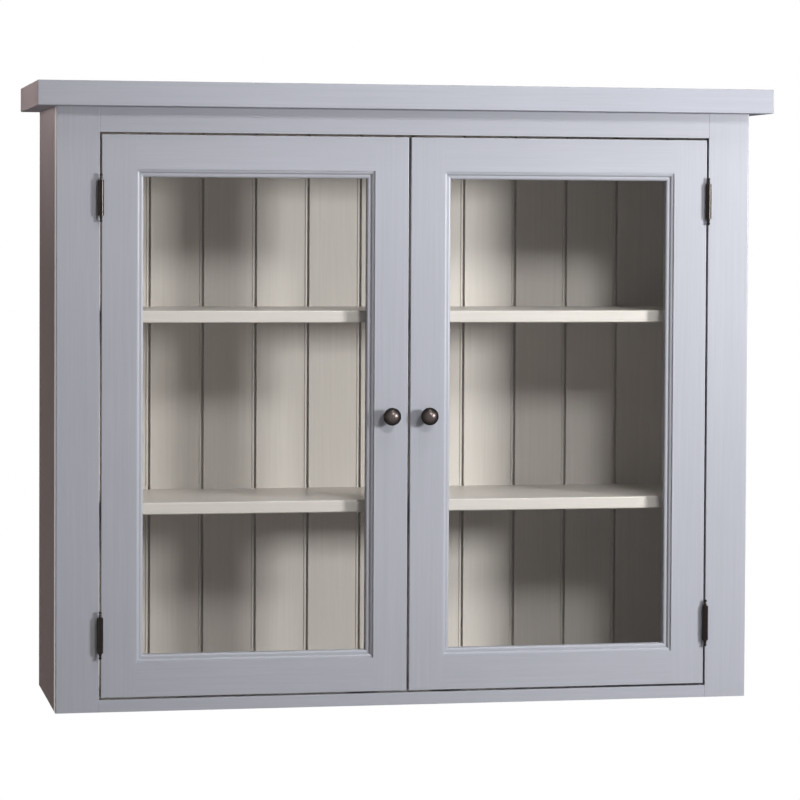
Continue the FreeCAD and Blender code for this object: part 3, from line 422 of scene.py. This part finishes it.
# %% [markdown]
# ## Slotted screws
#
# The solids of the screws are plain, as their slots are too fine to matter to a joint. From near, a screw
# without a slot looks like a rivet. Cutting a slot with a boolean is slow and leaves poor faces on so small
# a thing. Instead a section is spun into a screw, the flat of its head is bisected along the slot's four
# sides, and the strip between them is pushed down. Hinges, catches and the top board have countersunk
# screws. The machine screws behind the knobs have pan heads, whose rims are rounded with a bevel.

# %% Turn slotted screws
SLOT_WIDTH = 0.30
SLOT_REACH = 0.74
SLOT_DEPTH = 0.22
SCREW_POINT = 0.0027
SCREW_STEPS = 32
PAN_HEIGHT = 0.0022
PAN_STEPS = 4
TINY = 1e-6


def spin_screw(mesh, section):
    """Spin a section of (radius, height) pairs round the upright axis."""
    points = [mesh.verts.new((radius, 0.0, height)) for radius, height in section]
    edges = [mesh.edges.new(pair) for pair in zip(points, points[1:])]
    bmesh.ops.spin(mesh, geom=points + edges, cent=(0, 0, 0), axis=(0, 0, 1), angle=math.tau,
                   steps=SCREW_STEPS, use_merge=True)
    bmesh.ops.remove_doubles(mesh, verts=mesh.verts, dist=TINY)
    bmesh.ops.recalc_face_normals(mesh, faces=mesh.faces)


def flat_of_head(mesh):
    return [face for face in mesh.faces if face.normal.z > 0.99]


def cut_slot(mesh, flat_radius):
    """Bisect the flat of the head along the slot's sides and push the strip between them down."""
    mesh.normal_update()
    half_width = flat_radius * SLOT_WIDTH / 2
    half_length = flat_radius * SLOT_REACH
    for across, reach in (((1, 0, 0), half_width), ((0, 1, 0), half_length)):
        for side in (-1, 1):
            faces = flat_of_head(mesh)
            edges = list({edge for face in faces for edge in face.edges})
            points = list({point for face in faces for point in face.verts})
            bmesh.ops.bisect_plane(mesh, geom=points + edges + faces, dist=TINY,
                                   plane_co=Vector(across) * side * reach, plane_no=across)
            mesh.normal_update()
    strip = []
    for face in flat_of_head(mesh):
        place = face.calc_center_median()
        if abs(place.x) < half_width and abs(place.y) < half_length:
            strip.append(face)
    pushed = bmesh.ops.extrude_face_region(mesh, geom=strip)["geom"]
    floor_points = [piece for piece in pushed if isinstance(piece, bmesh.types.BMVert)]
    bmesh.ops.translate(mesh, verts=floor_points, vec=(0.0, 0.0, -flat_radius * SLOT_DEPTH))
    bmesh.ops.delete(mesh, geom=strip, context="FACES")


def countersunk_screw(head_radius, shank_radius, screw_length):
    """A wood screw that hangs from its head, which is flat at height 0."""
    neck = -(head_radius - shank_radius)
    point = -(screw_length - SCREW_POINT)
    head = [(0.0, 0.0), (head_radius, 0.0)]
    shank = [(shank_radius, neck), (shank_radius, point), (0.0, -screw_length)]
    mesh = bmesh.new()
    spin_screw(mesh, head + shank)
    cut_slot(mesh, head_radius)
    return mesh


def pan_head_screw(head_radius, shank_radius, screw_length):
    """A machine screw that hangs from its rounded head, whose top is at height 0."""
    head = [(0.0, 0.0), (head_radius, 0.0), (head_radius, -PAN_HEIGHT)]
    shank = [(shank_radius, -PAN_HEIGHT), (shank_radius, -screw_length), (0.0, -screw_length)]
    mesh = bmesh.new()
    spin_screw(mesh, head + shank)
    rim_points = {point for point in mesh.verts if point.co.z > -TINY and point.co.xy.length > TINY}
    rim = [edge for edge in mesh.edges if rim_points.issuperset(edge.verts)]
    bmesh.ops.bevel(mesh, geom=rim, offset=PAN_HEIGHT / 2, affect="EDGES", segments=PAN_STEPS,
                    profile=0.5, material=-1)
    cut_slot(mesh, head_radius - PAN_HEIGHT / 2)
    return mesh


print(f"slot {SLOT_WIDTH:.2f} of the flat's radius wide and {SLOT_DEPTH:.2f} deep")

# %% [markdown]
# ## Screws in their holes
#
# The places of the screws could be typed in again, but the solids already have them. A solid's mesh comes as
# loose faces, so a copy of it is merged first. Then its separate islands say where each screw is, which way
# its head looks and how large it is, and a slotted one takes its place. In a row of screws no two slots line
# up, so each is turned a little further.

# %% Put slotted screws where the solid ones are
SLOT_TURN = math.radians(50.0)
FITTING_SHANK = 0.0014
TOP_BOARD_SHANK = 0.0020
KNOB_SHANK = 0.0020


def islands(mesh):
    """The separate solids of a mesh, each as a list of points."""
    left = set(mesh.verts)
    while left:
        found = []
        waiting = [left.pop()]
        while waiting:
            point = waiting.pop()
            found.append(point.co)
            nearby = {edge.other_vert(point) for edge in point.link_edges} & left
            left -= nearby
            waiting.extend(nearby)
        yield found


def measure_screw(points):
    """The middle of a screw's head, the way its head looks, its head's radius and its length."""
    low = Vector([min(point[axis] for point in points) for axis in range(3)])
    high = Vector([max(point[axis] for point in points) for axis in range(3)])
    span = high - low
    across, along = sorted(range(3), key=lambda axis: span[axis])[1:]
    rim = min(points, key=lambda point: point[across])
    outward = Vector()
    outward[along] = 1.0 if rim[along] > (low[along] + high[along]) / 2 else -1.0
    head = (low + high) / 2
    head[along] = high[along] if outward[along] > 0 else low[along]
    return head, outward, span[across] / 2, span[along]


def slot_screws(node_name, body, turn_screw, shank_radius):
    """Put slotted screws in the places of a node's plain ones."""
    solid = bmesh.new()
    solid.from_mesh(nodes[node_name].data)
    bmesh.ops.remove_doubles(solid, verts=solid.verts, dist=TINY)
    screws = sorted(islands(solid), key=lambda points: tuple(points[0]))
    mesh = bpy.data.meshes.new(f"slotted_{node_name}")
    joined = bmesh.new()
    for number, points in enumerate(screws):
        head, outward, head_radius, screw_length = measure_screw(points)
        screw = turn_screw(head_radius, shank_radius, screw_length)
        faced = outward.to_track_quat("Z", "Y").to_matrix().to_4x4()
        screw.transform(Matrix.Translation(head) @ faced @ Matrix.Rotation(number * SLOT_TURN, 4, "Z"))
        screw.to_mesh(mesh)
        joined.from_mesh(mesh)
        screw.free()
    joined.to_mesh(mesh)
    joined.free()
    solid.free()
    mesh.materials.append(zinc)
    piece = bpy.data.objects.new(mesh.name, mesh)
    bpy.context.scene.collection.objects.link(piece)
    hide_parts(node_name)
    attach(piece, body)
    print(f"{piece.name}: screws {len(screws)}, faces {len(mesh.polygons)}")


slot_screws("carcass_screws", "carcass", countersunk_screw, FITTING_SHANK)
slot_screws("top_board_screws", "carcass", countersunk_screw, TOP_BOARD_SHANK)
for door in ("left_door", "right_door"):
    slot_screws(f"{door}_screws", door, countersunk_screw, FITTING_SHANK)
    slot_screws(f"{door}_knob_screw", door, pan_head_screw, KNOB_SHANK)

# %% [markdown]
# ## Window glass
#
# The panes are thin float glass. Light has to pass them on its way to the shelves, but a path tracer
# takes a refracting pane for an opaque one when it asks whether a lamp is in sight. Switching off the panes'
# shadows would let the lamps in untinted and leave bounced light noisy. Here Light Path says what kind of
# ray arrives: shadow rays and diffuse rays go straight through a tinted transparency, and what the eye or a
# mirror sees meets refracting glass. In front of a white studio a pane mirrors white and veils the shelves,
# more than in a room, so its refraction is set below that of real glass to keep the veil thin.

# %% Glass for both doors
GLASS_BODY = (0.985, 0.992, 0.988, 1.0)
GLASS_TINT = (0.980, 0.986, 0.982, 1.0)
GLASS_REFRACTION = 1.25
SMEARS_PER_METRE = 9.0
SMEAR_ROUGHNESS = (0.0, 0.03)


def glass_finish():
    material, tree, shader, position = new_material("window_glass")
    smears = noise(tree, position, SMEARS_PER_METRE, 3.0)
    join(tree, between(tree, smears, *SMEAR_ROUGHNESS), shader.inputs["Roughness"])
    shader.inputs["Base Color"].default_value = GLASS_BODY
    shader.inputs["Transmission Weight"].default_value = 1.0
    shader.inputs["IOR"].default_value = GLASS_REFRACTION
    rays = add(tree, "LightPath").outputs
    passes = calculate(tree, "MAXIMUM", rays["Is Shadow Ray"], rays["Is Diffuse Ray"])
    clear = add(tree, "BsdfTransparent", Color=GLASS_TINT)
    chosen = add(tree, "MixShader", Fac=passes)
    join(tree, shader.outputs[0], chosen.inputs[1])
    join(tree, clear.outputs[0], chosen.inputs[2])
    join(tree, chosen.outputs[0], tree.nodes["Material Output"].inputs["Surface"])
    return material


dress(named("door_glass"), glass_finish())

# %% [markdown]
# ## Floor and background
#
# The cabinet hangs, so the floor is well below it, out of most of the lamps' light. It is pale all the same
# and takes the cabinet's shadow near by. Further out it has to run into the white background with no
# horizon. So for what the eye sees it is mixed with plain white, partly near by and wholly past a few metres,
# and for the light it stays an ordinary floor. From below it is left out, because the cabinet has an
# underside worth a look.

# %% Lay the floor
FLOOR_DROP = 1.3
FLOOR_SIZE = 80.0
FLOOR_DULL = (0.80, 0.80, 0.80, 1.0)
FLOOR_PALE = (0.84, 0.84, 0.84, 1.0)
SPECKLES_PER_METRE = 60.0
WHITE = (1.0, 1.0, 1.0, 1.0)
NEAR_WHITENESS = 0.6
SHADOW_ENDS = (1.6, 3.6)


def seen_directly(tree):
    """1 for the rays that show the background: to the eye, in a mirror and through glass."""
    rays = add(tree, "LightPath").outputs
    mirrored = calculate(tree, "MAXIMUM", rays["Is Glossy Ray"], rays["Is Transmission Ray"])
    return calculate(tree, "MAXIMUM", rays["Is Camera Ray"], mirrored)


def floor_finish():
    material, tree, shader, position = new_material("pale_floor")
    speckle = noise(tree, position, SPECKLES_PER_METRE, 4.0)
    join(tree, mix(tree, "RGBA", speckle, FLOOR_DULL, FLOOR_PALE), shader.inputs["Base Color"])
    shader.inputs["Roughness"].default_value = 0.8
    distance = length(tree, scaled(tree, position, (1.0, 1.0, 0.0)))
    whiteness = add(tree, "MapRange", Value=distance, From_Min=SHADOW_ENDS[0], From_Max=SHADOW_ENDS[1],
                    To_Min=NEAR_WHITENESS).outputs[0]
    paling = add(tree, "MixShader", Fac=calculate(tree, "MULTIPLY", whiteness, seen_directly(tree)))
    join(tree, shader.outputs[0], paling.inputs[1])
    join(tree, add(tree, "Emission", Color=WHITE, Strength=1.0).outputs[0], paling.inputs[2])
    one_sided = add(tree, "MixShader", Fac=add(tree, "NewGeometry").outputs["Backfacing"])
    join(tree, paling.outputs[0], one_sided.inputs[1])
    join(tree, add(tree, "BsdfTransparent").outputs[0], one_sided.inputs[2])
    join(tree, one_sided.outputs[0], tree.nodes["Material Output"].inputs["Surface"])
    return material


floor_height = cad_box[0][2] - FLOOR_DROP
bpy.ops.mesh.primitive_plane_add(size=FLOOR_SIZE, location=(0.0, 0.0, floor_height))
floor = bpy.context.object
floor.name = "floor"
floor.data.materials.append(floor_finish())
print(f"floor at {floor_height:.2f} m")

# %% [markdown]
# ## Lamps
#
# The shadows tell where the lamps stood. On the back boards the doors' stiles throw their shadows a
# depth to the left, so one lamp is 45 degrees to the right and little above the cabinet's middle. The
# shelves throw theirs more than half a depth down, so a second one is nearly in front and 31 degrees up.
# The lower a shelf, the longer its shadow, so both are near, and the shadows' edges are some nine degrees
# soft. A broad third lamp high up gives the shelves and sills their light. What these miss is filled by a
# dim warm room, a little brighter at the upper left. The last lamp stands behind and lights only the back,
# which no wall hides here.

# %% Hang the lamps
CABINET_MIDDLE = Vector((0.0, -0.15, 0.0))
NEUTRAL = (1.0, 1.0, 1.0)
LAMPLIGHT = (1.0, 0.70, 0.55)
EVENING_SKY = (1.0, 0.78, 0.72)


def lamp(name, azimuth, elevation, distance, size, aim, beam, watts, colour=NEUTRAL):
    """A square lamp behind a grid. Its azimuth is to the right of straight in front, its beam in degrees."""
    light = bpy.data.lights.new(name, "AREA")
    light.size = size
    light.spread = math.radians(beam)
    light.energy = watts
    light.color = colour
    turn = math.radians(azimuth)
    rise = math.radians(elevation)
    away = Vector((math.sin(turn) * math.cos(rise), -math.cos(turn) * math.cos(rise), math.sin(rise)))
    holder = bpy.data.objects.new(name, light)
    holder.location = CABINET_MIDDLE + away * distance
    holder.rotation_euler = (holder.location - Vector(aim)).to_track_quat("Z", "Y").to_euler()
    holder.visible_camera = False
    bpy.context.scene.collection.objects.link(holder)
    print(f"{name}: {watts} W at {distance} m")


lamp("right_lamp", azimuth=44.5, elevation=8.7, distance=2.54, size=0.40,
     aim=(-0.46, -0.25, 0.05), beam=170.0, watts=49.4)
lamp("front_lamp", azimuth=15.0, elevation=31.2, distance=3.12, size=0.52,
     aim=(0.13, -0.25, 0.75), beam=84.0, watts=7.8)
lamp("top_lamp", azimuth=20.0, elevation=62.0, distance=3.0, size=1.0,
     aim=(0.1, -0.25, 0.0), beam=120.0, watts=9.0)
lamp("room_lamp", azimuth=-95.0, elevation=5.0, distance=3.0, size=2.0,
     aim=(-0.5, -0.15, 0.1), beam=180.0, watts=12.3, colour=LAMPLIGHT)
lamp("corner_lamp", azimuth=-90.0, elevation=28.0, distance=1.4, size=0.5,
     aim=(-0.55, -0.2, 0.66), beam=44.0, watts=0.50, colour=EVENING_SKY)
lamp("back_lamp", azimuth=190.0, elevation=30.0, distance=3.5, size=1.0,
     aim=(0.0, 0.0, 0.1), beam=40.0, watts=5.0)

# %% [markdown]
# ## The room
#
# A world of one bright colour would light every corner and wash the shadows out. This one is white to the
# eye, in the metal and in the glass, and dim and warm to everything else.

# %% Colour the room
ROOM_LIGHT = (0.018, 0.011, 0.006, 1.0)

room = bpy.data.worlds.new("room")
room.use_nodes = True
bpy.context.scene.world = room
shown = mix(room.node_tree, "RGBA", seen_directly(room.node_tree), ROOM_LIGHT, WHITE)
join(room.node_tree, shown, room.node_tree.nodes["Background"].inputs["Color"])
print("room light", ROOM_LIGHT[:3])

# %% [markdown]
# ## Camera
#
# The camera's place, turn and focal length were fitted so that the cabinet's edges fall on the edges in the
# photograph. It stands to the left of the middle, about five metres off, with a long lens. The uprights are
# nearly parallel there, as with a lens that was shifted down, and a small shift brings that out.

# %% Set up the camera
PICTURE_WIDTH = 800
FOCAL_PIXELS = 3117.5
CAMERA_PLACE = (-0.9170, -4.7948, 0.2758)
CAMERA_YAW = 0.1976
CAMERA_PITCH = -0.0316
CAMERA_ROLL = 0.0051
LENS_SHIFT = -0.1

lens = bpy.data.cameras.new("camera")
lens.sensor_width = 36.0
lens.lens = FOCAL_PIXELS / PICTURE_WIDTH * lens.sensor_width
lens.shift_y = LENS_SHIFT
lens.clip_end = 200.0
camera = bpy.data.objects.new("camera", lens)
turned = Matrix.Rotation(-CAMERA_YAW, 4, "Z") @ Matrix.Rotation(math.pi / 2 + CAMERA_PITCH, 4, "X")
camera.matrix_world = Matrix.Translation(CAMERA_PLACE) @ turned @ Matrix.Rotation(CAMERA_ROLL, 4, "Z")
bpy.context.scene.collection.objects.link(camera)
bpy.context.scene.camera = camera
bpy.context.scene.view_settings.view_transform = "Standard"
print(f"lens {lens.lens:.0f} mm at {[round(number, 2) for number in camera.location]}")

# %% [markdown]
# ## The size of the solids
#
# The box round the solids as they came in is printed. Nothing here may make the cabinet larger than
# its solids.

# %% Print the size of the solids
print("cad box", cad_box)
